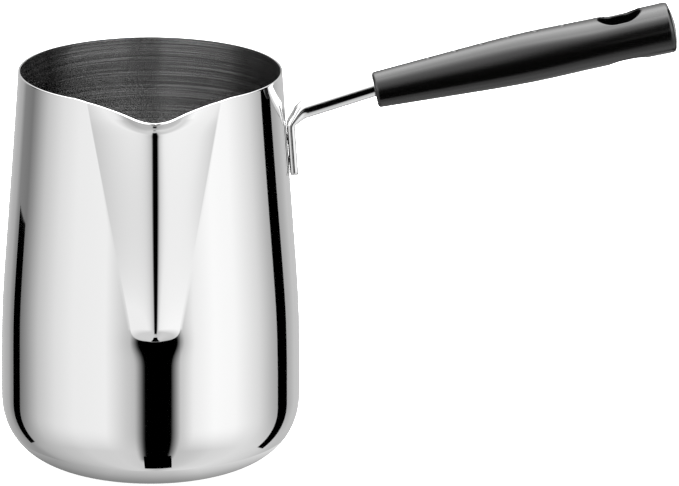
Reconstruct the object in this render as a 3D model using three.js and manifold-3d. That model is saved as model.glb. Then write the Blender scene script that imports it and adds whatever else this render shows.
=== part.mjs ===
// Candle melting pot: a one-piece drawn steel pot with a pressed pouring beak, a bent steel tube
// spot-welded to its wall, and a moulded grip on the tube. Nothing on it moves.
//
// Frame, in millimetres: the origin is the centre of the pot's flat base, +Z is up, the handle
// runs out towards +X, and the beak faces -Y, a quarter turn from the handle.
import * as THREE from 'three';
import { mergeVertices } from 'three/addons/utils/BufferGeometryUtils.js';
import Module from 'manifold-3d';

const wasm = await Module();
wasm.setup();

// Pot: a cylinder above a full, rounded bottom corner, then a soft knee and a bowed cone.
const POT_HEIGHT = 161.1;
const POT_RADIUS = 60.25;
const RIM_RADIUS = 52.6;
const WALL = 0.8;
const BASE_FLAT_RADIUS = 27.5;
const CORNER_HEIGHT = 28.6;
const CORNER_FULLNESS = 2.4;
const KNEE_HEIGHT = 64;
const KNEE_SOFTNESS = 1.5;
const CONE_BOW = 0.25;

// Beak: two hollow flanks between a rounded ridge and two creases that close in a toe.
const TOE_BOTTOM = 66.2;
const TOE_TOP = 72.2;
const TOE_SQUARENESS = 2.5;
const TOE_DENT = 0.5;
const TOE_DENT_WIDTH = 9;
const TOE_DENT_HEIGHT = 5;
const CREASE_HALF_AT_TOE = 9.8;
const CREASE_HALF_AT_RIM = 26.6;
const RIDGE_STAND_AT_TOE = 2.6;
const RIDGE_STAND_AT_RIM = 0.15;
const RIDGE_ROUNDING_AT_TOE = 1.9;
const RIDGE_ROUNDING_AT_RIM = 3.3;
const RIDGE_EASE = 5;
const RIDGE_EASE_FROM = 146.5;
const RIDGE_EASE_FULL = 154.5;
const FLANK_HOLLOW = 0.5;
const FLANK_HOLLOW_FROM = 75.7;
const FLANK_HOLLOW_FULL = 151.7;
// The lip curls out and dips at the ridge, and the whole beak's edge flares a little.
const LIP_REACH = 4.9;
const LIP_HALF_WIDTH = 10.8;
const LIP_SQUARENESS = 3.5;
const LIP_HEIGHT = 6;
const FLARE_REACH = 0.5;
const FLARE_HALF_WIDTH = 23;
const LIP_DIP = 6.6;
const DIP_HALF_WIDTH = 21.8;
const DIP_ROUNDING = 12;
const DIP_FROM = 124.7;

// Handle tube: flattened against the wall, opened out over two bends, straight to the grip.
const TUBE_RADIUS = 3.75;
const TUBE_WALL = 0.8;
const FLAT_THICKNESS = 3.1;
const CRIMP_THICKNESS = 2.2;
const CRIMP_LENGTH = 8;
const CRIMP_STEPS = 4;
const PLATE_STANDOFF = 0.4;
const PLATE_BOTTOM = 118.2;
const ROOT_HEIGHT = 138.8;
const ROOT_SLOPE = 48;
const NECK_SLOPE = 17.6;
const NECK_POINT = new THREE.Vector2(55.85, 142.55);
const BEND_RADII = [3, 6, 20];
// The tube stays flat this far past its first straight.
const FLAT_BEYOND = 1;
const TUBE_RISE_IN_GRIP = 1.45;
const TUBE_IN_GRIP = 60;

// Grip: an oval handle, thicker towards the back, with a hanging hole near its end.
const GRIP_SLOPE = 12;
const GRIP_START = new THREE.Vector2(89.4, 151.9);
const GRIP_LENGTH = 122.5;
// Distance along the grip, half height and half width there, and the mean of those halves.
const GRIP_SHAPE = [
  [0, 7.15, 7.9],
  [37, 9.1, 9.7],
  [66, 10.1, 11.2],
  [90, 9.75, 11.9],
  [105, 9.9, 12],
  [GRIP_LENGTH, 10.15, 12],
];
const GRIP_MEAN_HALF = 9;
const END_DOME = 1.3;
const END_EDGE = 1.8;
const FRONT_EDGE = 1.2;
const HOLE_CENTRE = 101.2;
const HOLE_LENGTH = 17.2;
const HOLE_WIDTH = 13.4;
const HOLE_CUTTER_HEIGHT = 40;
const DIMPLE_COUNT = 6;
const DIMPLE_FIRST = 23.6;
const DIMPLE_SPACING = 10.95;
const DIMPLE_RADIUS = 1.4;
const DIMPLE_DEPTH = 0.7;
const CLEARANCE = 0.3;
// The tube's last stations, from the middle of its neck on, that the bore follows.
const BORE_STATIONS = 9;

// Spot welds in the gap between the flattened tube and the wall.
const WELD_RADIUS = 2.2;
const WELD_THICKNESS = 0.2;
const WELD_HEIGHTS = { spot_weld_lower: 123, spot_weld_upper: 132 };

// Facets of the pot, narrower at the beak than at the back, and how far the beak reaches round.
const AROUND_POT = 68;
const FACET_BIAS = 0.4;
const BEAK_AZIMUTH = 1.2;
const ON_AXIS = 1e-6;
// Heights of the wall's section points, closest around the knee, the toe and the lip.
const SECTION_HEIGHTS = [
  46, 58, 64, 67, 68.5, 70.5, 72.2, 74, 80, 96, 114, 132, 144, 150, 153.5, 157,
];
const CORNER_STEPS = 10;
const AROUND_TUBE = 16;
const AROUND_GRIP = 28;
const ALONG_GRIP = 13;
const GRIP_EDGE_STEPS = 3;
const GRIP_DOME_RINGS = [0.6, 0.3, 0];
const GRIP_SAMPLES = 200;
const AROUND_HOLE_END = 12;
const AROUND_DIMPLE = 12;
const AROUND_WELD = 24;
const { degToRad, clamp, lerp, smoothstep } = THREE.MathUtils;

// Share of the way from one height to another, from 0 to 1.
function progress(z, from, to) {
  return clamp((z - from) / (to - from), 0, 1);
}

// ---- Pot --------------------------------------------------------------------------------------

// Outer radius of the plain pot above its bottom corner.
function wallRadius(z) {
  const u = (z - KNEE_HEIGHT) / (POT_HEIGHT - KNEE_HEIGHT);
  const cone = lerp(POT_RADIUS, RIM_RADIUS, u) - CONE_BOW * 4 * u * (1 - u);
  const inside = cone - POT_RADIUS;
  return POT_RADIUS + (inside - Math.hypot(inside, KNEE_SOFTNESS)) / 2;
}

// Half the width between the creases.
function creaseHalf(z) {
  const fade = progress(z, TOE_TOP, POT_HEIGHT);
  const toe = progress(z, TOE_BOTTOM, TOE_TOP);
  const closing = (1 - (1 - toe) ** TOE_SQUARENESS) ** (1 / TOE_SQUARENESS);
  return lerp(CREASE_HALF_AT_TOE, CREASE_HALF_AT_RIM, fade) * closing;
}

// How far the ridge stands out of the plain pot.
function ridgeStand(z) {
  const rise = progress(z, TOE_BOTTOM, TOE_TOP);
  const fade = progress(z, TOE_TOP, POT_HEIGHT);
  return lerp(RIDGE_STAND_AT_TOE, RIDGE_STAND_AT_RIM, fade) * Math.sin((rise * Math.PI) / 2);
}

// Radius of the ridge's rounding: it grows towards the rim and eases off into the lip.
function ridgeRounding(z) {
  const fade = progress(z, TOE_TOP, POT_HEIGHT);
  const ease = progress(z, RIDGE_EASE_FROM, RIDGE_EASE_FULL) ** 2;
  return lerp(RIDGE_ROUNDING_AT_TOE, RIDGE_ROUNDING_AT_RIM, fade) + RIDGE_EASE * ease;
}

// Fall of a flank from the ridge (t = 0) towards the crease (t = 1): a rounded vee whose slope
// eases off by the hollow near the crease.
function flankFall(t, rounding, hollow) {
  const q = Math.hypot(t, rounding);
  const ease = q ** 3 / 3 - rounding ** 2 * q + (2 * rounding ** 3) / 3;
  return q - rounding - hollow * ease;
}

// The sheet is drawn in a little around the toe.
function toeDent(x, z) {
  const across = (x / TOE_DENT_WIDTH) ** 2;
  const upright = ((z - TOE_BOTTOM) / TOE_DENT_HEIGHT) ** 2;
  return TOE_DENT * Math.exp(-across - upright);
}

// Forward reach of the wall at the sideways distance x from the beak's middle plane.
function wallReach(x, z) {
  const radius = wallRadius(z);
  const half = creaseHalf(z);
  const side = Math.abs(x);
  if (side >= half) return Math.sqrt(Math.max(radius ** 2 - x ** 2, 0)) - toeDent(x, z);
  const atCrease = Math.sqrt(radius ** 2 - half ** 2);
  const rounding = ridgeRounding(z) / half;
  const hollow = FLANK_HOLLOW * progress(z, FLANK_HOLLOW_FROM, FLANK_HOLLOW_FULL);
  const fall = flankFall(side / half, rounding, hollow) / flankFall(1, rounding, hollow);
  return lerp(radius + ridgeStand(z), atCrease, fall) - toeDent(x, z);
}

// How far the rim dips at the sideways distance x.
function rimDip(x) {
  const side = Math.hypot(x, DIP_ROUNDING) - DIP_ROUNDING;
  return LIP_DIP * Math.max(1 - side / DIP_HALF_WIDTH, 0) ** 1.5;
}

// Point of the finished outer wall that the plain pot has at the azimuth and height given.
function beakPoint(azimuth, height) {
  const x = wallRadius(height) * Math.sin(azimuth);
  const sink = progress(height, DIP_FROM, POT_HEIGHT) ** 2;
  const dip = rimDip(x);
  const z = height - dip * sink;
  const rim = POT_HEIGHT - dip;
  const curl = progress(z, rim - LIP_HEIGHT, rim) ** 2;
  const lip = LIP_REACH * Math.exp(-(Math.abs(x / LIP_HALF_WIDTH) ** LIP_SQUARENESS));
  const flare = FLARE_REACH * Math.exp(-((x / FLARE_HALF_WIDTH) ** 4));
  return new THREE.Vector3(x, -wallReach(x, z) - (lip + flare) * curl, z);
}

// Outward normal of that wall.
function beakNormal(azimuth, height) {
  const turn = 0.004;
  const drop = 0.2;
  const below = Math.min(height, POT_HEIGHT) - drop;
  const across = beakPoint(azimuth + turn, height).sub(beakPoint(azimuth - turn, height));
  const up = beakPoint(azimuth, height).sub(beakPoint(azimuth, below));
  return across.cross(up).normalize();
}

// Section of one skin of the bottom corner, from the flat base up to the wall.
function cornerSection(inset) {
  const power = 2 / CORNER_FULLNESS;
  const width = wallRadius(CORNER_HEIGHT) - BASE_FLAT_RADIUS;
  return Array.from({ length: CORNER_STEPS + 1 }, (_, i) => {
    const turn = (i / CORNER_STEPS) * (Math.PI / 2);
    const out = Math.max(Math.sin(turn), 0) ** power;
    const down = Math.max(Math.cos(turn), 0) ** power;
    return new THREE.Vector2(
      BASE_FLAT_RADIUS + (width - inset) * out,
      CORNER_HEIGHT - (CORNER_HEIGHT - inset) * down,
    );
  });
}

// Closed section of the plain pot, from the axis under the base, up the outside, over the
// rounded rim and down the inside.
function potSection() {
  const skin = (inset) => SECTION_HEIGHTS.map((z) => new THREE.Vector2(wallRadius(z) - inset, z));
  const edge = POT_HEIGHT - WALL / 4;
  const rim = [
    new THREE.Vector2(RIM_RADIUS, edge),
    new THREE.Vector2(RIM_RADIUS - WALL / 2, POT_HEIGHT),
    new THREE.Vector2(RIM_RADIUS - WALL, edge),
  ];
  const axisBottom = new THREE.Vector2(0, 0);
  const axisTop = new THREE.Vector2(0, WALL);
  return [
    axisBottom,
    ...cornerSection(0),
    ...skin(0),
    ...rim,
    ...skin(WALL).reverse(),
    ...cornerSection(WALL).reverse(),
    axisTop,
  ];
}

function makePot() {
  const geometry = new THREE.LatheGeometry(potSection(), AROUND_POT);
  geometry.rotateX(Math.PI / 2);
  const position = geometry.getAttribute('position');
  const point = new THREE.Vector3();
  for (let i = 0; i < position.count; i += 1) {
    point.fromBufferAttribute(position, i);
    const radius = Math.hypot(point.x, point.y);
    if (radius < ON_AXIS) continue;
    const even = Math.atan2(point.x, -point.y);
    const azimuth = even - FACET_BIAS * Math.sin(even);
    if (point.z > CORNER_HEIGHT && Math.abs(azimuth) < BEAK_AZIMUTH) {
      const depth = wallRadius(point.z) - radius;
      const normal = beakNormal(azimuth, point.z);
      point.copy(beakPoint(azimuth, point.z)).addScaledVector(normal, -depth);
    } else {
      point.x = radius * Math.sin(azimuth);
      point.y = -radius * Math.cos(azimuth);
    }
    position.setXYZ(i, point.x, point.y, point.z);
  }
  return geometry;
}

// ---- Handle tube ------------------------------------------------------------------------------

function ahead(heading, length) {
  return new THREE.Vector2(Math.cos(heading), Math.sin(heading)).multiplyScalar(length);
}

// Where two lines of the XZ plane meet.
function crossing(first, firstHeading, second, secondHeading) {
  const a = ahead(firstHeading, 1);
  const b = ahead(secondHeading, 1);
  const gap = second.clone().sub(first);
  return first.clone().addScaledVector(a, gap.cross(b) / a.cross(b));
}

// Lean of the wall, and of the plate that lies along it.
function plateTilt() {
  return Math.atan2(wallRadius(PLATE_BOTTOM) - wallRadius(ROOT_HEIGHT), ROOT_HEIGHT - PLATE_BOTTOM);
}

// Corners and headings of the tube's centre line, from the foot of the plate to its hidden end.
function tubeRoute() {
  const slopes = [ROOT_SLOPE, NECK_SLOPE, GRIP_SLOPE].map(degToRad);
  const headings = [Math.PI / 2 + plateTilt(), ...slopes];
  const off = PLATE_STANDOFF + FLAT_THICKNESS / 2;
  const start = new THREE.Vector2(wallRadius(PLATE_BOTTOM) + off, PLATE_BOTTOM);
  const root = start.clone().add(ahead(headings[0], ROOT_HEIGHT - PLATE_BOTTOM));
  const inGrip = alongGrip(0).add(ahead(headings[3] + Math.PI / 2, TUBE_RISE_IN_GRIP));
  const upper = crossing(root, headings[1], NECK_POINT, headings[2]);
  const mouth = crossing(NECK_POINT, headings[2], inGrip, headings[3]);
  const finish = inGrip.clone().add(ahead(headings[3], TUBE_IN_GRIP));
  return { corners: [start, root, upper, mouth, finish], headings };
}

function addLine(stations, to, heading, parts) {
  const from = stations[stations.length - 1].at;
  for (let i = 1; i <= parts; i += 1) {
    stations.push({ at: from.clone().lerp(to, i / parts), heading });
  }
}

function addBend(stations, first, last, radius, parts) {
  const from = stations[stations.length - 1].at;
  const side = Math.sign(last - first);
  const spoke = (heading) => ahead(heading - (side * Math.PI) / 2, radius);
  const centre = from.clone().sub(spoke(first));
  for (let i = 1; i <= parts; i += 1) {
    const heading = lerp(first, last, i / parts);
    stations.push({ at: centre.clone().add(spoke(heading)), heading });
  }
}

// Stations along the tube's centre line: place in the XZ plane, heading, and flattening from
// 0 (round) to 1, with the thickness that the flattened tube has there.
function tubeStations() {
  const { corners, headings } = tubeRoute();
  const lineParts = [3, 2, 2];
  const bendParts = [5, 5, 2];
  const stations = [{ at: corners[0], heading: headings[0] }];
  BEND_RADII.forEach((radius, i) => {
    const cut = radius * Math.tan(Math.abs(headings[i] - headings[i + 1]) / 2);
    const before = corners[i + 1].clone().sub(ahead(headings[i], cut));
    addLine(stations, before, headings[i], lineParts[i]);
    addBend(stations, headings[i], headings[i + 1], radius, bendParts[i]);
  });
  const crimp = corners[4].clone().sub(ahead(headings[3], CRIMP_LENGTH));
  addLine(stations, crimp, headings[3], 1);
  addLine(stations, corners[4], headings[3], CRIMP_STEPS);
  flatten(stations, lineParts[0], lineParts[0] + bendParts[0] + lineParts[1] + bendParts[1]);
  return stations;
}

// Flat up to the station opensAt, fully round from roundAt, and crimped at the hidden end.
function flatten(stations, opensAt, roundAt) {
  const run = [0];
  stations.slice(1).forEach((station, i) => {
    run.push(run[i] + station.at.distanceTo(stations[i].at));
  });
  const last = stations.length - 1;
  const crimpAt = last - CRIMP_STEPS;
  stations.forEach((station, i) => {
    station.flat = 1 - smoothstep(run[i], run[opensAt] + FLAT_BEYOND, run[roundAt]);
    station.thickness = FLAT_THICKNESS;
    if (i > crimpAt) {
      station.flat = smoothstep(run[i], run[crimpAt], run[last]);
      station.thickness = CRIMP_THICKNESS;
    }
  });
}

// Carries a straight round bar or tube, one extrusion step per station, onto the stations.
function loft(shape, stations) {
  const steps = stations.length - 1;
  const geometry = new THREE.ExtrudeGeometry(shape, {
    depth: steps,
    steps,
    bevelEnabled: false,
    curveSegments: AROUND_TUBE / 2,
  });
  const position = geometry.getAttribute('position');
  for (let i = 0; i < position.count; i += 1) {
    const station = stations[Math.round(position.getZ(i))];
    const across = position.getX(i);
    const rise = position.getY(i);
    const own = Math.hypot(across, rise);
    // Flattening keeps the girth: two half rounds joined by a flat.
    const half = station.thickness / 2;
    const flatHalf = (Math.PI / 2) * (TUBE_RADIUS - half);
    const round = half - (TUBE_RADIUS - own);
    const cosine = across / own;
    const wide = flatHalf * clamp(cosine * 2, -1, 1) + round * cosine;
    const y = lerp(across, wide, station.flat);
    const n = lerp(rise, (round * rise) / own, station.flat);
    position.setXYZ(
      i,
      station.at.x - n * Math.sin(station.heading),
      y,
      station.at.y + n * Math.cos(station.heading),
    );
  }
  return geometry;
}

function disc(radius) {
  return new THREE.Shape().absarc(0, 0, radius, 0, Math.PI * 2);
}

function makeTube() {
  const ring = disc(TUBE_RADIUS);
  ring.holes.push(new THREE.Path().absarc(0, 0, TUBE_RADIUS - TUBE_WALL, 0, Math.PI * 2, true));
  return loft(ring, tubeStations());
}

// ---- Grip -------------------------------------------------------------------------------------

function alongGrip(distance) {
  return ahead(degToRad(GRIP_SLOPE), distance).add(GRIP_START);
}

// Half height and half width of the grip along its axis.
const gripCurve = new THREE.CatmullRomCurve3(GRIP_SHAPE.map((p) => new THREE.Vector3(...p)));
const gripTable = gripCurve.getPoints(GRIP_SAMPLES);

function gripHalves(distance) {
  const next = Math.max(gripTable.findIndex((p) => p.x >= distance), 1);
  const [a, b] = [gripTable[next - 1], gripTable[next]];
  return a.clone().lerp(b, clamp((distance - a.x) / (b.x - a.x), 0, 1));
}

// Unit profile of the grip, turned about its axis: front edge, side, back edge and end dome.
function gripProfile() {
  const backEdge = GRIP_LENGTH - END_DOME - END_EDGE;
  const edgeTurns = Array.from({ length: GRIP_EDGE_STEPS + 1 }, (_, i) => i / GRIP_EDGE_STEPS);
  const profile = [new THREE.Vector2(0, 0)];
  for (const share of edgeTurns) {
    const turn = share * (Math.PI / 2);
    const inset = (FRONT_EDGE * (1 - Math.sin(turn))) / GRIP_MEAN_HALF;
    profile.push(new THREE.Vector2(1 - inset, FRONT_EDGE * (1 - Math.cos(turn))));
  }
  for (let i = 1; i < ALONG_GRIP; i += 1) {
    profile.push(new THREE.Vector2(1, lerp(FRONT_EDGE, backEdge, i / ALONG_GRIP)));
  }
  for (const share of edgeTurns) {
    const turn = share * (Math.PI / 2);
    const inset = (END_EDGE * (1 - Math.cos(turn))) / GRIP_MEAN_HALF;
    profile.push(new THREE.Vector2(1 - inset, backEdge + END_EDGE * Math.sin(turn)));
  }
  for (const radius of GRIP_DOME_RINGS) {
    const edge = 1 - END_EDGE / GRIP_MEAN_HALF;
    const rise = END_DOME * (1 - (radius / edge) ** 2);
    profile.push(new THREE.Vector2(radius, GRIP_LENGTH - END_DOME + rise));
  }
  return profile;
}

// The grip's outside: the turned profile, scaled to the oval at each distance.
function gripBody() {
  const geometry = new THREE.LatheGeometry(gripProfile(), AROUND_GRIP);
  const position = geometry.getAttribute('position');
  for (let i = 0; i < position.count; i += 1) {
    const distance = position.getY(i);
    const halves = gripHalves(distance);
    position.setXYZ(i, position.getX(i) * halves.z, distance, position.getZ(i) * halves.y);
  }
  return placeOnGrip(geometry);
}

// Turns a piece drawn along +Y, with its height along Z, onto the grip's axis.
function placeOnGrip(geometry) {
  geometry.rotateZ(-Math.PI / 2);
  geometry.rotateY(degToRad(-GRIP_SLOPE));
  geometry.translate(GRIP_START.x, 0, GRIP_START.y);
  return geometry;
}

// The hanging hole's cutter: an upright bar with round ends.
function holeCutter() {
  const round = HOLE_WIDTH / 2;
  const straight = HOLE_LENGTH / 2 - round;
  const outline = new THREE.Shape();
  outline.absarc(0, straight, round, 0, Math.PI);
  outline.absarc(0, -straight, round, Math.PI, Math.PI * 2);
  const geometry = new THREE.ExtrudeGeometry(outline, {
    depth: HOLE_CUTTER_HEIGHT,
    steps: 1,
    bevelEnabled: false,
    curveSegments: AROUND_HOLE_END,
  });
  geometry.translate(0, HOLE_CENTRE, -HOLE_CUTTER_HEIGHT / 2);
  return placeOnGrip(geometry);
}

function dimpleCutter(index) {
  const distance = DIMPLE_FIRST + index * DIMPLE_SPACING;
  const ball = (DIMPLE_RADIUS ** 2 + DIMPLE_DEPTH ** 2) / (2 * DIMPLE_DEPTH);
  const geometry = new THREE.SphereGeometry(ball, AROUND_DIMPLE, (AROUND_DIMPLE * 2) / 3);
  geometry.translate(0, distance, gripHalves(distance).y + ball - DIMPLE_DEPTH);
  return placeOnGrip(geometry);
}

// The bore that the tube sits in: the tube's own route, a clearance wider and longer.
function boreCutter() {
  const stations = tubeStations().slice(-BORE_STATIONS);
  const last = stations[stations.length - 1];
  const end = { ...last, at: last.at.clone().add(ahead(last.heading, CLEARANCE)) };
  return loft(disc(TUBE_RADIUS + CLEARANCE), [...stations, end]);
}

function toSolid(geometry) {
  geometry.deleteAttribute('normal');
  geometry.deleteAttribute('uv');
  const merged = mergeVertices(geometry, 1e-4);
  return new wasm.Manifold(
    new wasm.Mesh({
      numProp: 3,
      vertProperties: merged.getAttribute('position').array,
      triVerts: new Uint32Array(merged.index.array),
    }),
  );
}

function toGeometry(solid) {
  const mesh = solid.getMesh();
  const geometry = new THREE.BufferGeometry();
  geometry.setAttribute('position', new THREE.BufferAttribute(mesh.vertProperties, 3));
  geometry.setIndex(new THREE.BufferAttribute(mesh.triVerts, 1));
  geometry.computeVertexNormals();
  return geometry;
}

function makeGrip() {
  let grip = toSolid(gripBody()).subtract(toSolid(boreCutter()));
  grip = grip.subtract(toSolid(holeCutter()));
  for (let i = 0; i < DIMPLE_COUNT; i += 1) {
    grip = grip.subtract(toSolid(dimpleCutter(i)));
  }
  return toGeometry(grip);
}

// ---- Spot welds -------------------------------------------------------------------------------

function makeWeld() {
  const geometry = new THREE.CylinderGeometry(
    WELD_RADIUS,
    WELD_RADIUS,
    WELD_THICKNESS,
    AROUND_WELD,
  );
  geometry.rotateZ(Math.PI / 2);
  return geometry;
}

function placeWeld(mesh, z) {
  mesh.position.set(wallRadius(z) + PLATE_STANDOFF / 2, 0, z);
  mesh.rotation.y = -plateTilt();
}

// ---- Assembly ---------------------------------------------------------------------------------

const steel = { color: 0xd4d4d6, roughness: 0.08, metalness: 1 };
const tubeSteel = { color: 0xcfcfd1, roughness: 0.12, metalness: 1 };
const weldSteel = { color: 0xa8a8a8, roughness: 0.4, metalness: 1 };
const blackPlastic = { color: 0x151515, roughness: 0.55, metalness: 0 };

function piece(name, geometry, finish) {
  const mesh = new THREE.Mesh(geometry, new THREE.MeshStandardMaterial(finish));
  mesh.name = name;
  return mesh;
}

const pot = new THREE.Group();
pot.add(piece('pot_body', makePot(), steel));

const handle = new THREE.Group();
handle.add(piece('handle_tube', makeTube(), tubeSteel));
handle.add(piece('grip', makeGrip(), blackPlastic));
for (const [name, z] of Object.entries(WELD_HEIGHTS)) {
  const weld = piece(name, makeWeld(), weldSteel);
  placeWeld(weld, z);
  handle.add(weld);
}
pot.add(handle);

export default pot;
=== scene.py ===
"""Candle melting pot on a plain white table in a light tent.

The pot is polished steel outside and brushed inside, with a pouring beak facing -Y. A bent steel
tube runs out to a black moulded grip towards +X. Everything is in the row frame, in metres.
"""

import math

import bmesh
import bpy
import numpy as np
from mathutils import Matrix, Vector


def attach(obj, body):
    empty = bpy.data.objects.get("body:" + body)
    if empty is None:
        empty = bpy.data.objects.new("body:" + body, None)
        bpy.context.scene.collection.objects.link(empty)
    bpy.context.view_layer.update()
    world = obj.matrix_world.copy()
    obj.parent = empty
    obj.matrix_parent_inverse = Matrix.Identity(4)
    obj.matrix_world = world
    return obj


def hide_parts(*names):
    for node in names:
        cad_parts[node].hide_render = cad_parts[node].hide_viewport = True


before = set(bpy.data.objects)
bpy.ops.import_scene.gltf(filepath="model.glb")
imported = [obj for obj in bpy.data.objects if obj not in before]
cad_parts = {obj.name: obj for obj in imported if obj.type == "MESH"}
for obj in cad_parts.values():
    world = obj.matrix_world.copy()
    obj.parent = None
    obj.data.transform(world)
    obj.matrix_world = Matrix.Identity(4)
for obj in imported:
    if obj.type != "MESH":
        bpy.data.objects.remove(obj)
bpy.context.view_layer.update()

MM = 0.001
TINY = 1e-6

# Camera: place, direction of view and lens.
CAMERA_PLACE = (-73.05, -2392.61, 804.9)
CAMERA_YAW = 3.56
CAMERA_PITCH = -16.64
CAMERA_ROLL = 0.441
LENS = 330.6
SENSOR_WIDTH = 36.0
CLIP = (0.05, 50.0)

# Pot.
POT_HEIGHT = 161.1
POT_RADIUS = 60.25
RIM_RADIUS = 52.6
WALL = 0.8
BASE_FLAT_RADIUS = 27.5
CORNER_HEIGHT = 28.6
CORNER_FULLNESS = 2.4
KNEE_HEIGHT = 64.0
KNEE_SOFTNESS = 1.5
CONE_BOW = 0.25
# Rolled rim: half its width, and the half height of its rounded edge.
RIM_BEAD = 0.44
RIM_BEAD_RISE = 0.26
# How far round the beak's shape reaches from -Y, in radians.
BEAK_AZIMUTH = 1.2

# Pouring beak.
TOE_BOTTOM = 66.2
TOE_TOP = 72.2
TOE_SQUARENESS = 2.5
TOE_DENT = 0.5
TOE_DENT_WIDTH = 9.0
TOE_DENT_HEIGHT = 5.0
CREASE_HALF_AT_TOE = 9.8
CREASE_HALF_AT_RIM = 26.6
RIDGE_STAND_AT_TOE = 2.6
RIDGE_STAND_AT_RIM = 0.15
RIDGE_ROUNDING_AT_TOE = 1.9
RIDGE_ROUNDING_AT_RIM = 3.3
RIDGE_EASE = 5.0
RIDGE_EASE_FROM = 146.5
RIDGE_EASE_FULL = 154.5
FLANK_HOLLOW = 0.5
FLANK_HOLLOW_FROM = 75.7
FLANK_HOLLOW_FULL = 151.7
LIP_REACH = 4.9
FLARE_REACH = 0.5
FLARE_HALF_WIDTH = 23.0
LIP_HALF_WIDTH = 10.8
LIP_SQUARENESS = 3.5
LIP_HEIGHT = 6.0
LIP_DIP = 6.6
DIP_HALF_WIDTH = 21.8
DIP_ROUNDING = 12.0
DIP_FROM = 124.7

# Handle tube.
TUBE_RADIUS = 3.75
TUBE_WALL = 0.8
FLAT_THICKNESS = 3.4
CRIMP_THICKNESS = 2.2
CRIMP_LENGTH = 8.0
PLATE_STANDOFF = 0.1
PLATE_BOTTOM = 118.2
BEND_RADII = (3.0, 6.0, 20.0)
FLAT_BEYOND = 1.0
ROOT_HEIGHT = 138.8
ROOT_SLOPE = 48.0
NECK_SLOPE = 17.6
NECK_HEIGHT = 142.55
NECK_HEIGHT_AT = 55.85
TUBE_RISE_IN_GRIP = 1.45
TUBE_IN_GRIP = 60.0

# Grip.
GRIP_SLOPE = 12.0
GRIP_START = (89.4, 151.9)
GRIP_LENGTH = 122.5
# Distance along the grip, half height and half width.
GRIP_SHAPE = [
    (0.0, 7.15, 7.9), (37.0, 9.1, 9.7), (66.0, 10.1, 11.2), (90.0, 9.75, 11.9),
    (105.0, 9.9, 12.0), (122.5, 10.15, 12.0),
]
END_DOME = 1.3
END_EDGE = 1.8
FRONT_EDGE = 1.2
# The bore for the tube: its radius, and how much wider it is across at each depth.
BORE_RADIUS = 4.05
BORE_DEPTH = 61.0
BORE_WIDENING = [(0.0, 1.0), (1.0, 1.0), (46.0, 1.0), (52.0, 1.42), (BORE_DEPTH, 1.42)]
HOLE_CENTRE = 101.2
HOLE_LENGTH = 17.2
HOLE_WIDTH = 13.4
HOLE_ROUNDING = 0.9
# How far outside the hole its rounding begins, in roundings.
ROUNDING_BEGINS = 1.3
DIMPLE_COUNT = 6
DIMPLE_FIRST = 23.6
DIMPLE_SPACING = 10.95
DIMPLE_RADIUS = 1.5
DIMPLE_DEPTH = 0.8
PARTING_RIDGE = 0.05
PARTING_HALF_WIDTH = 0.03

# Fineness of the meshes: columns around each piece and rows along it. A run is (start, end,
# count): shares of a flank, shares of the wall beside the beak, and heights up the wall.
FLANK_RUNS = [(0.0, 0.3, 16), (0.3, 0.9, 22), (0.9, 1.0, 8)]
SIDE_RUNS = [(0.0, 0.02, 6), (0.02, 0.98, 250), (0.98, 1.0, 6)]
HEIGHT_RUNS = [
    (CORNER_HEIGHT, 50.0, 14), (50.0, TOE_BOTTOM, 36), (TOE_BOTTOM, TOE_TOP + 1.0, 40),
    (TOE_TOP + 1.0, 80.0, 12), (80.0, 150.0, 56), (150.0, POT_HEIGHT - 0.65, 36),
]
CORNER_STEPS = 44
BEAD_STEPS = 17
AROUND_TUBE = 64
ALONG_STRAIGHT = 12
ALONG_BEND = 14
AROUND_GRIP = 144
ALONG_GRIP = 232
FRONT_EDGE_STEPS = 7
END_EDGE_STEPS = 9
END_DOME_RINGS = (0.85, 0.7, 0.55, 0.4, 0.25, 0.12)
# The patch of the grip that the hanging hole is worked into: its reach along the grip from the
# hole's centre, its columns on the crest and on the underside, and its rings.
PATCH_REACH = 13.5
PATCH_ON_CREST = (16, 56)
PATCH_UNDERNEATH = (88, 128)
PATCH_STEPS = 9


# ---- Small helpers --------------------------------------------------------------------------

def lerp(a, b, t):
    return a + (b - a) * t


def progress(x, low, high):
    """Share of the way from low to high, from 0 to 1."""
    return np.clip((x - low) / (high - low), 0.0, 1.0)


def smoothstep(x, low, high):
    t = progress(x, low, high)
    return t * t * (3.0 - 2.0 * t)


def mesh_object(name, points, faces, materials, material_of_face=None):
    """A smooth-shaded mesh object from points in millimetres."""
    mesh = bpy.data.meshes.new(name)
    mesh.from_pydata((np.asarray(points, float) * MM).tolist(), [], faces)
    for material in materials:
        mesh.materials.append(material)
    if material_of_face is not None:
        mesh.polygons.foreach_set("material_index", material_of_face)
    mesh.polygons.foreach_set("use_smooth", [True] * len(mesh.polygons))
    shell = bmesh.new()
    shell.from_mesh(mesh)
    bmesh.ops.recalc_face_normals(shell, faces=shell.faces)
    shell.to_mesh(mesh)
    shell.free()
    mesh.update()
    obj = bpy.data.objects.new(name, mesh)
    bpy.context.scene.collection.objects.link(obj)
    return obj


def stand_in(obj, node):
    """obj takes the place of a CAD node."""
    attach(obj, "root")
    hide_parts(node)
    return obj


# ---- Camera ---------------------------------------------------------------------------------

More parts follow.
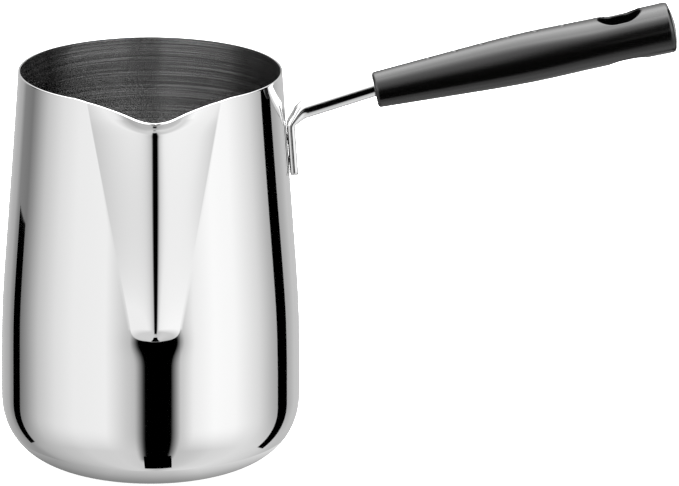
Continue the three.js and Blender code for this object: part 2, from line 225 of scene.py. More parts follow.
def make_camera():
    yaw, pitch, roll = (math.radians(a) for a in (CAMERA_YAW, CAMERA_PITCH, CAMERA_ROLL))
    level = math.cos(pitch)
    forward = Vector((math.sin(yaw) * level, math.cos(yaw) * level, math.sin(pitch)))
    right = Vector((math.cos(yaw), -math.sin(yaw), 0.0))
    up = right.cross(forward)
    rolled_right = right * math.cos(roll) + up * math.sin(roll)
    rolled_up = up * math.cos(roll) - right * math.sin(roll)
    turn = Matrix((rolled_right, rolled_up, -forward)).transposed().to_4x4()
    data = bpy.data.cameras.new("camera")
    data.lens = LENS
    data.sensor_width = SENSOR_WIDTH
    data.clip_start, data.clip_end = CLIP
    camera = bpy.data.objects.new("camera", data)
    camera.matrix_world = Matrix.Translation(Vector(CAMERA_PLACE) * MM) @ turn
    bpy.context.scene.collection.objects.link(camera)
    bpy.context.scene.camera = camera


make_camera()


# ---- Node helpers ---------------------------------------------------------------------------

class Tree:
    """Short names for building a node tree."""

    def __init__(self, tree):
        self.tree = tree
        self.tree.nodes.clear()

    def add(self, kind, **settings):
        node = self.tree.nodes.new(kind)
        for key, value in settings.items():
            setattr(node, key, value)
        return node

    def link(self, source, target):
        self.tree.links.new(source, target)

    def math(self, operation, first, second=None):
        node = self.add("ShaderNodeMath", operation=operation)
        for socket, value in zip(node.inputs, (first, second)):
            if isinstance(value, (int, float)):
                socket.default_value = value
            elif value is not None:
                self.link(value, socket)
        return node.outputs[0]

    def ramp(self, factor, stops):
        """A grey ramp with stops of (place, value)."""
        node = self.add("ShaderNodeValToRGB")
        node.color_ramp.interpolation = "LINEAR"
        elements = node.color_ramp.elements
        while len(elements) > 1:
            elements.remove(elements[-1])
        for index, (place, value) in enumerate(stops):
            element = elements[0] if index == 0 else elements.new(place)
            element.position = place
            element.color = (value, value, value, 1.0)
        self.link(factor, node.inputs["Fac"])
        return node.outputs["Color"]

    def noise(self, vector, scale, detail=2.0, roughness=0.5):
        node = self.add("ShaderNodeTexNoise")
        node.inputs["Scale"].default_value = scale
        node.inputs["Detail"].default_value = detail
        node.inputs["Roughness"].default_value = roughness
        self.link(vector, node.inputs["Vector"])
        return node.outputs["Fac"]

    def stretched(self, scale):
        """Object coordinates scaled unevenly."""
        place = self.add("ShaderNodeTexCoord")
        mapping = self.add("ShaderNodeMapping")
        mapping.inputs["Scale"].default_value = scale
        self.link(place.outputs["Object"], mapping.inputs["Vector"])
        return mapping.outputs["Vector"]

    def bump(self, height, strength, distance):
        node = self.add("ShaderNodeBump")
        node.inputs["Strength"].default_value = strength
        node.inputs["Distance"].default_value = distance
        self.link(height, node.inputs["Height"])
        return node.outputs["Normal"]


def new_material(name):
    material = bpy.data.materials.new(name)
    material.use_nodes = True
    tree = Tree(material.node_tree)
    shader = tree.add("ShaderNodeBsdfPrincipled")
    output = tree.add("ShaderNodeOutputMaterial")
    tree.link(shader.outputs["BSDF"], output.inputs["Surface"])
    return material, tree, shader


# ---- Materials ------------------------------------------------------------------------------

STEEL = (0.70, 0.70, 0.70, 1.0)
PLASTIC = (0.0005, 0.0005, 0.0005, 1.0)
# Ramps of (noise, value).
POLISH_ROUGHNESS = [(0.3, 0.03), (0.7, 0.05)]
BRUSH_GREY = [(0.35, 0.28), (0.65, 0.56)]
BRUSH_ROUGHNESS = [(0.3, 0.17), (0.7, 0.23)]
TUBE_ROUGHNESS = [(0.3, 0.06), (0.7, 0.12)]
WELD_GREY = [(0.3, 0.3), (0.7, 0.5)]
WELD_ROUGHNESS = 0.45
PLASTIC_ROUGHNESS = [(0.3, 0.12), (0.7, 0.18)]
# Noise frequencies per metre along X, Y and Z.
SCUFFS = (60.0, 60.0, 420.0)
BRUSH_LINES = (12.0, 12.0, 1900.0)
DRAWN_LINES = (40.0, 900.0, 900.0)
WELD_GRAIN = (1500.0, 1500.0, 1500.0)
PLASTIC_GRAIN = 2400.0
# The brushing blurs a quarter turn away from its tangent.
QUARTER_TURN = 0.25


def polished_steel():
    """Drawn and polished sheet: nearly a mirror, with the faintest scuffs."""
    material, tree, shader = new_material("polished steel")
    shader.inputs["Base Color"].default_value = STEEL
    shader.inputs["Metallic"].default_value = 1.0
    scuffs = tree.noise(tree.stretched(SCUFFS), 1.0, 4.0)
    tree.link(tree.ramp(scuffs, POLISH_ROUGHNESS), shader.inputs["Roughness"])
    return material


def brushed_steel():
    """The pot's inside: fine lines that run around it."""
    material, tree, shader = new_material("brushed steel")
    shader.inputs["Metallic"].default_value = 1.0
    lines = tree.noise(tree.stretched(BRUSH_LINES), 1.0, 4.0, 0.7)
    tree.link(tree.ramp(lines, BRUSH_GREY), shader.inputs["Base Color"])
    tree.link(tree.ramp(lines, BRUSH_ROUGHNESS), shader.inputs["Roughness"])
    tree.link(tree.bump(lines, 0.2, 0.0002), shader.inputs["Normal"])
    shader.inputs["Anisotropic"].default_value = 1.0
    shader.inputs["Anisotropic Rotation"].default_value = QUARTER_TURN
    around = tree.add("ShaderNodeTangent", direction_type="RADIAL", axis="Z")
    tree.link(around.outputs["Tangent"], shader.inputs["Tangent"])
    return material


def tube_steel():
    """Drawn tube: polished along its length."""
    material, tree, shader = new_material("tube steel")
    shader.inputs["Base Color"].default_value = STEEL
    shader.inputs["Metallic"].default_value = 1.0
    lines = tree.noise(tree.stretched(DRAWN_LINES), 1.0, 3.0)
    tree.link(tree.ramp(lines, TUBE_ROUGHNESS), shader.inputs["Roughness"])
    return material


def weld_steel():
    """Spot-weld nugget: dull, slightly uneven steel."""
    material, tree, shader = new_material("weld steel")
    shader.inputs["Metallic"].default_value = 1.0
    grain = tree.noise(tree.stretched(WELD_GRAIN), 1.0, 4.0)
    tree.link(tree.ramp(grain, WELD_GREY), shader.inputs["Base Color"])
    shader.inputs["Roughness"].default_value = WELD_ROUGHNESS
    return material


def black_plastic():
    """Moulded grip: black with a fine matte grain."""
    material, tree, shader = new_material("black plastic")
    shader.inputs["Base Color"].default_value = PLASTIC
    shader.inputs["Metallic"].default_value = 0.0
    grain = tree.noise(tree.stretched((1.0, 1.0, 1.0)), PLASTIC_GRAIN, 3.0)
    tree.link(tree.ramp(grain, PLASTIC_ROUGHNESS), shader.inputs["Roughness"])
    tree.link(tree.bump(grain, 0.12, 0.0001), shader.inputs["Normal"])
    return material


# ---- Pot ------------------------------------------------------------------------------------

def wall_radius(z):
    """Outer radius of the plain pot above its bottom corner."""
    u = (z - KNEE_HEIGHT) / (POT_HEIGHT - KNEE_HEIGHT)
    cone = lerp(POT_RADIUS, RIM_RADIUS, u) - CONE_BOW * 4.0 * u * (1.0 - u)
    inside = cone - POT_RADIUS
    return POT_RADIUS + (inside - np.hypot(inside, KNEE_SOFTNESS)) / 2.0


def crease_guide(z):
    """Half width between the creases, carried on below the toe as a constant."""
    return lerp(CREASE_HALF_AT_TOE, CREASE_HALF_AT_RIM, progress(z, TOE_TOP, POT_HEIGHT))


def crease_half(z):
    """Half width between the creases, which close in the toe."""
    toe = progress(z, TOE_BOTTOM, TOE_TOP)
    n = TOE_SQUARENESS
    return crease_guide(z) * (1.0 - (1.0 - toe) ** n) ** (1.0 / n)


def ridge_stand(z):
    """How far the ridge stands out of the plain pot."""
    rise = progress(z, TOE_BOTTOM, TOE_TOP)
    fade = progress(z, TOE_TOP, POT_HEIGHT)
    return lerp(RIDGE_STAND_AT_TOE, RIDGE_STAND_AT_RIM, fade) * np.sin(rise * math.pi / 2.0)


def ridge_rounding(z):
    """Radius of the ridge's rounding: it grows towards the rim and eases off into the lip."""
    fade = progress(z, TOE_TOP, POT_HEIGHT)
    ease = progress(z, RIDGE_EASE_FROM, RIDGE_EASE_FULL) ** 2
    return lerp(RIDGE_ROUNDING_AT_TOE, RIDGE_ROUNDING_AT_RIM, fade) + RIDGE_EASE * ease


def flank_fall(t, rounding, hollow):
    """Fall of a flank from the ridge (t = 0) to the crease (t = 1): a rounded, hollow vee."""
    q = np.hypot(t, rounding)
    ease = q ** 3 / 3.0 - rounding ** 2 * q + 2.0 * rounding ** 3 / 3.0
    return q - rounding - hollow * ease


def wall_reach(x, z):
    """Forward reach of the front wall at the sideways distance x."""
    radius = wall_radius(z)
    half = np.maximum(crease_half(z), TINY)
    side = np.abs(x)
    plain = np.sqrt(np.maximum(radius ** 2 - x ** 2, 0.0))
    at_crease = np.sqrt(radius ** 2 - half ** 2)
    rounding = ridge_rounding(z) / half
    hollow = FLANK_HOLLOW * progress(z, FLANK_HOLLOW_FROM, FLANK_HOLLOW_FULL)
    t = np.minimum(side / half, 1.0)
    fall = flank_fall(t, rounding, hollow) / flank_fall(1.0, rounding, hollow)
    flank = lerp(radius + ridge_stand(z), at_crease, fall)
    return np.where(side >= half, plain, flank) - toe_dent(x, z)


def toe_dent(x, z):
    """The sheet is drawn in a little around the toe."""
    across = np.exp(-((x / TOE_DENT_WIDTH) ** 2))
    return TOE_DENT * across * np.exp(-(((z - TOE_BOTTOM) / TOE_DENT_HEIGHT) ** 2))


def rim_dip(x):
    """How far the rim dips at the sideways distance x."""
    side = np.hypot(x, DIP_ROUNDING) - DIP_ROUNDING
    return LIP_DIP * np.maximum(1.0 - side / DIP_HALF_WIDTH, 0.0) ** 1.5


def outer_point(azimuth, height):
    """Point of the outer wall for the azimuth (0 at -Y, towards +X) and plain height given."""
    radius = wall_radius(height)
    x = radius * np.sin(azimuth)
    dip = rim_dip(x)
    z = height - dip * progress(height, DIP_FROM, POT_HEIGHT) ** 2
    rim = POT_HEIGHT - dip
    front = np.stack([x, -wall_reach(x, z) - lip_reach(x, z, rim), z], -1)
    plain = np.stack([x, -radius * np.cos(azimuth), height + 0.0 * x], -1)
    return np.where((np.abs(azimuth) < BEAK_AZIMUTH)[..., None], front, plain)


def lip_reach(x, z, rim):
    """How far the beak's edge curls out below the rim: the lip, and the flare beside it."""
    curl = progress(z, rim - LIP_HEIGHT, rim) ** 2
    flare = FLARE_REACH * np.exp(-((x / FLARE_HALF_WIDTH) ** 4))
    return (LIP_REACH * np.exp(-(np.abs(x / LIP_HALF_WIDTH) ** LIP_SQUARENESS)) + flare) * curl


def outer_normal(azimuth, height):
    turn, drop = 0.002, 0.1
    across = outer_point(azimuth + turn, height) - outer_point(azimuth - turn, height)
    top = np.minimum(height, POT_HEIGHT)
    up = outer_point(azimuth, top) - outer_point(azimuth, top - drop)
    normal = np.cross(across, up)
    return normal / np.linalg.norm(normal, axis=-1, keepdims=True)


def spread(runs):
    """Joined even runs of (start, end, count), each without its end, then the last end."""
    parts = [np.linspace(start, end, count, endpoint=False) for start, end, count in runs]
    return np.concatenate(parts + [[runs[-1][1]]])


def column_azimuths(height):
    """Azimuth of every column at one height: columns follow the creases and the ridge."""
    flank = spread(FLANK_RUNS)
    inner = np.concatenate([-flank[::-1], flank[1:-1]])
    crease = np.arcsin(crease_guide(height) / wall_radius(height))
    beak = np.arcsin(inner * crease_guide(height) / wall_radius(height))
    side = crease + spread(SIDE_RUNS)[:-1] * (2.0 * math.pi - 2.0 * crease)
    return np.concatenate([beak, side])


def section_rows():
    """Rows of the section above the corner: (depth into the wall, height, is inside)."""
    heights = spread(HEIGHT_RUNS)
    outside = [(0.0, z, 0) for z in heights]
    reach = WALL / 2.0
    start = math.acos(reach / RIM_BEAD)
    centre = POT_HEIGHT - RIM_BEAD_RISE
    turns = np.linspace(-start, math.pi + start, BEAD_STEPS)
    bead = [(reach - RIM_BEAD * math.cos(a), centre + RIM_BEAD_RISE * math.sin(a), 0) for a in turns]
    inside = [(WALL, z, 1) for z in heights[::-1]]
    return outside + bead + inside


def wall_rows():
    """Rings up the outside, over the rim and down the inside."""
    rows = []
    for depth, height, _ in section_rows():
        azimuth = column_azimuths(height)
        full = np.full_like(azimuth, height)
        wrapped = (azimuth + math.pi) % (2.0 * math.pi) - math.pi
        rows.append(outer_point(wrapped, full) - outer_normal(wrapped, full) * depth)
    return rows


def corner_rows(inset):
    """Rings from the flat base's edge up to the wall, for one skin."""
    azimuth = column_azimuths(CORNER_HEIGHT)
    width = wall_radius(CORNER_HEIGHT) - BASE_FLAT_RADIUS
    power = 2.0 / CORNER_FULLNESS
    rows = []
    for turn in np.linspace(0.0, math.pi / 2.0, CORNER_STEPS, endpoint=False):
        radius = BASE_FLAT_RADIUS + (width - inset) * math.sin(turn) ** power
        z = CORNER_HEIGHT - (CORNER_HEIGHT - inset) * math.cos(turn) ** power
        ring = [radius * np.sin(azimuth), -radius * np.cos(azimuth), np.full_like(azimuth, z)]
        rows.append(np.stack(ring, -1))
    return rows


def make_pot(outer, inner):
    outer_corner = corner_rows(0.0)
    inner_corner = corner_rows(WALL)[::-1]
    rows = outer_corner + wall_rows() + inner_corner
    inside_from = len(outer_corner) + sum(1 for row in section_rows() if not row[2])
    count = len(rows[0])
    points = np.concatenate(rows + [[(0.0, 0.0, 0.0)], [(0.0, 0.0, WALL)]])
    faces, slots = [], []
    for r in range(len(rows) - 1):
        for c in range(count):
            d = (c + 1) % count
            a, b = r * count, (r + 1) * count
            faces.append((a + c, a + d, b + d, b + c))
            slots.append(int(r >= inside_from - 1))
    bottom, floor = len(rows) * count, len(rows) * count + 1
    last = (len(rows) - 1) * count
    for c in range(count):
        d = (c + 1) % count
        faces.append((bottom, d, c))
        slots.append(0)
        faces.append((floor, last + c, last + d))
        slots.append(1)
    return mesh_object("pot", points, faces, [outer, inner], slots)


# ---- Handle tube ----------------------------------------------------------------------------

def heading_step(heading, length):
    """A step of the length given along a heading of the XZ plane."""
    return np.array([math.cos(heading), math.sin(heading)]) * length


def bend_stations(start, first, last, radius):
    """Arc of the centre line from one heading to another: (place, heading)."""
    side = math.copysign(1.0, last - first)
    centre = start - heading_step(first - side * math.pi / 2.0, radius)
    stations = []
    for i in range(1, ALONG_BEND + 1):
        heading = lerp(first, last, i / ALONG_BEND)
        place = centre + heading_step(heading - side * math.pi / 2.0, radius)
        stations.append((place, heading))
    return stations


def crossing(first, first_heading, second, second_heading):
    """Where two lines of the XZ plane meet."""
    a, b = heading_step(first_heading, 1.0), heading_step(second_heading, 1.0)
    gap = np.asarray(second) - first
    along = (gap[0] * b[1] - gap[1] * b[0]) / (a[0] * b[1] - a[1] * b[0])
    return first + a * along


def tube_route():
    """Corner points and headings of the tube's centre line, from the plate to its hidden end."""
    fall = wall_radius(PLATE_BOTTOM) - wall_radius(ROOT_HEIGHT)
    tilt = math.atan2(fall, ROOT_HEIGHT - PLATE_BOTTOM)
    headings = [math.pi / 2.0 + tilt] + [math.radians(a) for a in (ROOT_SLOPE, NECK_SLOPE, GRIP_SLOPE)]
    plate = PLATE_STANDOFF + FLAT_THICKNESS / 2.0
    start = np.array([wall_radius(PLATE_BOTTOM) + plate, PLATE_BOTTOM])
    root = start + heading_step(headings[0], ROOT_HEIGHT - PLATE_BOTTOM)
    neck = np.array([NECK_HEIGHT_AT, NECK_HEIGHT])
    across = heading_step(headings[3] + math.pi / 2.0, TUBE_RISE_IN_GRIP)
    in_grip = np.array(GRIP_START) + across
    upper = crossing(root, headings[1], neck, headings[2])
    mouth = crossing(neck, headings[2], in_grip, headings[3])
    finish = in_grip + heading_step(headings[3], TUBE_IN_GRIP)
    return [start, root, upper, mouth, finish], headings


def tube_stations():
    """Stations (place in XZ, heading, flatness 0..1, thickness when flat) along the tube."""
    corners, headings = tube_route()
    path = [(corners[0], headings[0])]
    marks = []
    for i in range(1, 4):
        first, last = headings[i - 1], headings[i]
        radius = BEND_RADII[i - 1]
        cut = radius * math.tan(abs(first - last) / 2.0)
        before = corners[i] - heading_step(first, cut)
        path += straight(path[-1][0], before, first)
        marks.append(len(path) - 1)
        path += bend_stations(before, first, last, radius)
        marks.append(len(path) - 1)
    crimp = corners[4] - heading_step(headings[3], CRIMP_LENGTH)
    path += straight(path[-1][0], crimp, headings[3])
    whole = len(path)
    path += straight(crimp, corners[4], headings[3])
    places = np.array([place for place, _ in path])
    run = np.concatenate([[0.0], np.cumsum(np.linalg.norm(np.diff(places, axis=0), axis=1))])
    opening = 1.0 - smoothstep(run, run[marks[0]] + FLAT_BEYOND, run[marks[3]])
    crimping = smoothstep(run, run[whole - 1], run[-1])
    stations = []
    for i, (place, heading) in enumerate(path):
        if i < whole:
            stations.append((place, heading, opening[i], FLAT_THICKNESS))
        else:
            stations.append((place, heading, crimping[i], CRIMP_THICKNESS))
    return stations


def straight(start, end, heading):
    """Stations of a straight run of the centre line."""
    return [(lerp(start, end, i / ALONG_STRAIGHT), heading) for i in range(1, ALONG_STRAIGHT + 1)]


def tube_ring(station, own):
    """One ring of the tube at the radius own inside or outside its wall."""
    place, heading, flat, thickness = station
    turn = np.linspace(0.0, 2.0 * math.pi, AROUND_TUBE, endpoint=False)
    cosine, sine = np.cos(turn), np.sin(turn)
    half = thickness / 2.0
    flat_half = math.pi / 2.0 * (TUBE_RADIUS - half)
    round_part = half - (TUBE_RADIUS - own)
    across = lerp(own * cosine, flat_half * np.clip(cosine * 2.0, -1, 1) + round_part * cosine, flat)
    rise = lerp(own * sine, round_part * sine, flat)
    x = place[0] - rise * math.sin(heading)
    z = place[1] + rise * math.cos(heading)
    return np.stack([x, across, z], -1)


def make_tube(steel):
    stations = tube_stations()
    outer = [tube_ring(s, TUBE_RADIUS) for s in stations]
    inner = [tube_ring(s, TUBE_RADIUS - TUBE_WALL) for s in reversed(stations)]
    rings = outer + inner
    faces = []
    for r in range(len(rings)):
        a, b = r * AROUND_TUBE, (r + 1) % len(rings) * AROUND_TUBE
        for c in range(AROUND_TUBE):
            d = (c + 1) % AROUND_TUBE
            faces.append((a + c, b + c, b + d, a + d))
    return mesh_object("tube", np.concatenate(rings), faces, [steel])


# ---- Grip -----------------------------------------------------------------------------------

def grip_halves(distance):
    """Half height and half width of the grip, smooth through the shape's stations."""
    s, a, b = (np.array(c) for c in zip(*GRIP_SHAPE))
    return natural_spline(s, a, distance), natural_spline(s, b, distance)


def natural_spline(x, y, at):
    """Natural cubic spline through (x, y)."""
    n = len(x)
    h = np.diff(x)
    system, right = np.eye(n), np.zeros(n)
    for i in range(1, n - 1):
        system[i, i - 1:i + 2] = h[i - 1], 2.0 * (h[i - 1] + h[i]), h[i]
        right[i] = 6.0 * ((y[i + 1] - y[i]) / h[i] - (y[i] - y[i - 1]) / h[i - 1])
    m = np.linalg.solve(system, right)
    at = np.clip(at, x[0], x[-1])
    i = np.clip(np.searchsorted(x, at) - 1, 0, n - 2)
    p, q = x[i + 1] - at, at - x[i]
    curve = (m[i] * p ** 3 + m[i + 1] * q ** 3) / (6.0 * h[i])
    return curve + (y[i] / h[i] - m[i] * h[i] / 6.0) * p + (y[i + 1] / h[i] - m[i + 1] * h[i] / 6.0) * q


def grip_section():
    """Rows along the grip's outside: (distance, inset of the edge)."""
    rows = []
    for turn in np.linspace(0.0, math.pi / 2.0, FRONT_EDGE_STEPS):
        rows.append((FRONT_EDGE * (1.0 - math.cos(turn)), FRONT_EDGE * (1.0 - math.sin(turn))))
    back = GRIP_LENGTH - END_DOME - END_EDGE
    rows += [(s, 0.0) for s in np.linspace(FRONT_EDGE, back, ALONG_GRIP)[1:-1]]
    for turn in np.linspace(0.0, math.pi / 2.0, END_EDGE_STEPS):
        rows.append((back + END_EDGE * math.sin(turn), END_EDGE * (1.0 - math.cos(turn))))
    return rows


def grip_surface(distance, turn, inset=0.0):
    """Points (distance, sideways, height) of the oval outside; turn is 90 degrees at the crest."""
    a, b = grip_halves(distance)
    y, v = (b - inset) * np.cos(turn), (a - inset) * np.sin(turn)
    out = np.stack([distance + 0.0 * turn, y, v], -1)
    seam = np.exp(-((np.sin(turn) / PARTING_HALF_WIDTH) ** 2))
    out[..., 1] += PARTING_RIDGE * seam * np.sign(np.cos(turn))
    for k in range(DIMPLE_COUNT):
        away = np.hypot(distance - DIMPLE_FIRST - k * DIMPLE_SPACING, y) / DIMPLE_RADIUS
        out[..., 2] -= DIMPLE_DEPTH * np.maximum(1.0 - away ** 2, 0.0) ** 2 * (v > 0)
    return out


def hole_outline(direction, offset):
    """Point of the hole's stadium outline, grown by offset, in each direction from its centre."""
    radius = HOLE_WIDTH / 2.0 + offset
    straight = (HOLE_LENGTH - HOLE_WIDTH) / 2.0
    s, y = direction[:, 0], direction[:, 1]
    to_side = radius / np.maximum(np.abs(y), TINY)
    along = np.abs(s)
    to_end = straight * along + np.sqrt(np.maximum(radius ** 2 - (straight * y) ** 2, 0.0))
    reach = np.where(to_side * along <= straight, to_side, to_end)
    return direction * reach[:, None]


def hole_rings(border, side):
    """Rings from a border on the grip's crest (side 1) or underside (-1) down to the hole's wall."""
    centre = np.array([HOLE_CENTRE, 0.0])
    flat = border[:, :2] - centre
    direction = flat / np.linalg.norm(flat, axis=1)[:, None]
    edge = hole_outline(direction, HOLE_ROUNDING * ROUNDING_BEGINS)
    rings = []
    for share in np.linspace(0.0, 1.0, PATCH_STEPS)[1:]:
        plan = centre + lerp(flat, edge, share)
        a, b = grip_halves(plan[:, 0])
        turn = np.arccos(np.clip(plan[:, 1] / b, -1.0, 1.0)) * side
        rings.append(np.stack([plan[:, 0], plan[:, 1], a * np.sin(turn)], -1))
    last = rings[-1]
    a, b = grip_halves(last[:, 0])
    normal = np.stack([0.0 * a, last[:, 1] / b ** 2, last[:, 2] / a ** 2], -1)
    normal /= np.linalg.norm(normal, axis=1)[:, None]
    outward = outline_normal(edge)
    centre_line = last - normal * HOLE_ROUNDING
    for share in np.linspace(0.0, 1.0, PATCH_STEPS)[1:]:
        spoke = lerp(normal, -outward, share)
        spoke /= np.linalg.norm(spoke, axis=1)[:, None]
        rings.append(centre_line + spoke * HOLE_ROUNDING)
    return rings


def outline_normal(edge):
    """Outward normal of the stadium at points of its outline."""
    straight = (HOLE_LENGTH - HOLE_WIDTH) / 2.0
    away = edge.copy()
    away[:, 0] -= np.clip(edge[:, 0], -straight, straight)
    away /= np.linalg.norm(away, axis=1)[:, None]
    return np.column_stack([away, np.zeros(len(away))])


class Shell:
    """Collects points and faces of one closed mesh."""

    def __init__(self):
        self.points, self.faces = [], []

    def ring(self, points):
        start = len(self.points)
        self.points.extend(np.asarray(points, float).tolist())
        return list(range(start, len(self.points)))

    def bridge(self, first, second):
        count = len(first)
        for c in range(count):
            d = (c + 1) % count
            self.faces.append((first[c], first[d], second[d], second[c]))

    def fan(self, ring, point):
        middle = self.ring([point])[0]
        for c in range(len(ring)):
            self.faces.append((ring[c], ring[(c + 1) % len(ring)], middle))


def border_loop(rows, first_row, last_row, first_column, last_column):
    """Indices around a rectangle of the grid, in order."""
    loop = [rows[first_row][c] for c in range(first_column, last_column)]
    loop += [rows[r][last_column] for r in range(first_row, last_row)]
    loop += [rows[last_row][c] for c in range(last_column, first_column, -1)]
    loop += [rows[r][first_column] for r in range(last_row, first_row, -1)]
    return loop


def add_hole_side(shell, rows, span, columns, side):
    """One mouth of the hole, from its patch's border to the hole's wall; returns its last ring."""
    border = border_loop(rows, span[0], span[1], columns[0], columns[1])
    previous = border
    for ring in hole_rings(np.array([shell.points[i] for i in border]), side):
        current = shell.ring(ring)
        shell.bridge(previous, current)
        previous = current
    return previous


def add_bore(shell, front):
    """Front face, the bore for the tube, wider across at its end, and its closed bottom."""
    count = len(front)
    turn = np.linspace(0.0, 2.0 * math.pi, count, endpoint=False)
    previous = front
    for distance, widening in BORE_WIDENING:
        y = BORE_RADIUS * widening * np.cos(turn)
        v = BORE_RADIUS * np.sin(turn) + TUBE_RISE_IN_GRIP
        current = shell.ring(np.stack([np.full(count, distance), y, v], -1))
        shell.bridge(previous, current)
        previous = current
    shell.fan(previous, (BORE_DEPTH, 0.0, TUBE_RISE_IN_GRIP))


def add_back_end(shell, back):
    """Domed end face."""
    rim = np.array([shell.points[i] for i in back])
    previous = back
    for share in END_DOME_RINGS:
        ring = rim * (1.0, share, share)
        ring[:, 0] = rim[0, 0] + END_DOME * (1.0 - share ** 2)
        current = shell.ring(ring)
        shell.bridge(previous, current)
        previous = current
    shell.fan(previous, (GRIP_LENGTH, 0.0, 0.0))


def join_rows(shell, rows, span):
    """Faces between the grip's rows, leaving out the hole's two patches."""
    patches = (PATCH_ON_CREST, PATCH_UNDERNEATH)
    for r in range(len(rows) - 1):
        for c in range(AROUND_GRIP):
            cut = any(first <= c < last for first, last in patches)
            if span[0] <= r < span[1] and cut:
                continue
            d = (c + 1) % AROUND_GRIP
            shell.faces.append((rows[r][c], rows[r][d], rows[r + 1][d], rows[r + 1][c]))


def add_hole(shell, rows, span):
    """The hanging hole, from the crest through to the underside."""
    upper = add_hole_side(shell, rows, span, PATCH_ON_CREST, 1)
    lower = add_hole_side(shell, rows, span, PATCH_UNDERNEATH, -1)
    # The underside's loop runs the other way around the hole.
    start = nearest(shell, lower, shell.points[upper[0]])
    count = len(lower)
    shell.bridge(upper, [lower[(start - i) % count] for i in range(count)])


def make_grip(plastic):
    turn = np.linspace(0.0, 2.0 * math.pi, AROUND_GRIP, endpoint=False)
    section = grip_section()
    shell = Shell()
    rows = [shell.ring(grip_surface(np.float64(s), turn, inset)) for s, inset in section]
    distances = np.array([s for s, _ in section])
    ends = (HOLE_CENTRE - PATCH_REACH, HOLE_CENTRE + PATCH_REACH)
    span = [int(np.searchsorted(distances, end)) for end in ends]
    join_rows(shell, rows, span)
    add_hole(shell, rows, span)
    add_bore(shell, rows[0])
    add_back_end(shell, rows[-1])
    return mesh_object("grip_body", on_grip_axis(np.array(shell.points)), shell.faces, [plastic])


def nearest(shell, ring, point):
    """Place in the ring of the point nearest to the one given, seen along the hole."""
    away = [math.hypot(shell.points[i][0] - point[0], shell.points[i][1] - point[1]) for i in ring]
    return int(np.argmin(away))


def on_grip_axis(points):
    """Turns (distance, sideways, height) points onto the grip's axis."""
    slope = math.radians(GRIP_SLOPE)
    s, y, v = points.T
    x = GRIP_START[0] + s * math.cos(slope) - v * math.sin(slope)
    z = GRIP_START[1] + s * math.sin(slope) + v * math.cos(slope)
    return np.stack([x, y, z], -1)


# ---- Studio ---------------------------------------------------------------------------------

# Brightness of the light tent by azimuth from the camera's side, positive to the right.
CAMERA_AZIMUTH = -1.74
TENT = [
    (-180, 0.62), (-160, 0.62), (-143, 0.52), (-135, 0.30), (-120, 0.25), (-112, 0.40),
    (-97, 0.77), (-79, 1.04), (-62, 1.18), (-35, 1.22), (-19, 0.83), (-12, 0.7),
    (0, 0.7), (22, 0.75), (33, 1.2), (50, 1.37), (68, 1.33), (92, 0.98), (106, 0.67),
    (113, 0.55), (122, 0.45), (134, 0.55), (147, 0.70), (180, 0.62),
]
# The front half of the tent is brighter above the pot's level.
TENT_RISE = [(0, 0.0), (14, 1.3)]
TENT_RISE_FRONT = [(-95, 0.0), (-75, 1.0), (75, 1.0), (95, 0.0)]
# The dark gap in front, around the camera, and its lower and upper edges.
GAP = [(-12, 0.0), (-8, 0.6), (-5, 1.0), (15.5, 1.0), (19, 0.55), (22.5, 0.0)]
GAP_HEIGHTS = [(-62, 0.0), (-54, 1.0), (49, 1.0), (59, 0.0)]
# A slit of light in the gap, and how high it starts.
SLIT = [(4.0, 0.0), (4.8, 1.0), (6.4, 1.0), (7.2, 0.0)]
SLIT_HEIGHTS = [(2, 0.0), (8, 1.0)]
# The table as the walls mirror it, by azimuth, and where it takes over from the tent.
TABLE_SEEN = [
    (-180, 0.3), (-131, 0.40), (-118, 0.55), (-104, 0.63), (-86, 0.73), (-70, 0.79), (-56, 0.87),
    (-30, 0.89), (-18, 0.85), (20, 0.7), (43, 0.83), (56, 0.93), (86, 1.0), (104, 0.94),
    (122, 0.86), (180, 0.4),
]
TABLE_FROM = (-40.0, -18.0)
# Soft light overhead, a little towards the back: brightness by the angle from its middle.
OVERHEAD_AXIS = (0.0, 0.34, 0.94)
OVERHEAD = [(0.57, 0.0), (0.70, 0.08), (0.82, 0.3), (0.96, 1.0)]
OVERHEAD_BRIGHTNESS = 6.0


def degrees_ramp(tree, angle, stops):
    """Ramp over -180..180 degrees."""
    factor = tree.math("ADD", tree.math("DIVIDE", angle, 360.0), 0.5)
    return tree.ramp(factor, [(place / 360.0 + 0.5, value) for place, value in stops])


def tent_walls(tree, azimuth, elevation):
    """The tent and the table below it, with the dark gap in front and its slit."""
    rise = tree.math("MULTIPLY", degrees_ramp(tree, elevation, TENT_RISE),
                     degrees_ramp(tree, azimuth, TENT_RISE_FRONT))
    tent = tree.math("MULTIPLY", degrees_ramp(tree, azimuth, TENT), tree.math("ADD", rise, 1.0))
    table = degrees_ramp(tree, azimuth, TABLE_SEEN)
    low, high = TABLE_FROM
    surround = mix(tree, degrees_ramp(tree, elevation, [(low, 0.0), (high, 1.0)]), table, tent)
    upright = degrees_ramp(tree, elevation, GAP_HEIGHTS)
    lit = tree.math("MULTIPLY", degrees_ramp(tree, azimuth, SLIT),
                    degrees_ramp(tree, elevation, SLIT_HEIGHTS))
    sector = tree.math("SUBTRACT", degrees_ramp(tree, azimuth, GAP), lit)
    gap = tree.math("MULTIPLY", sector, upright)
    return tree.math("MULTIPLY", surround, tree.math("SUBTRACT", 1.0, gap))


def overhead_light(tree, direction):
    toward = tree.add("ShaderNodeVectorMath", operation="DOT_PRODUCT")
    tree.link(direction, toward.inputs[0])
    toward.inputs[1].default_value = OVERHEAD_AXIS
    return tree.ramp(toward.outputs["Value"], OVERHEAD)


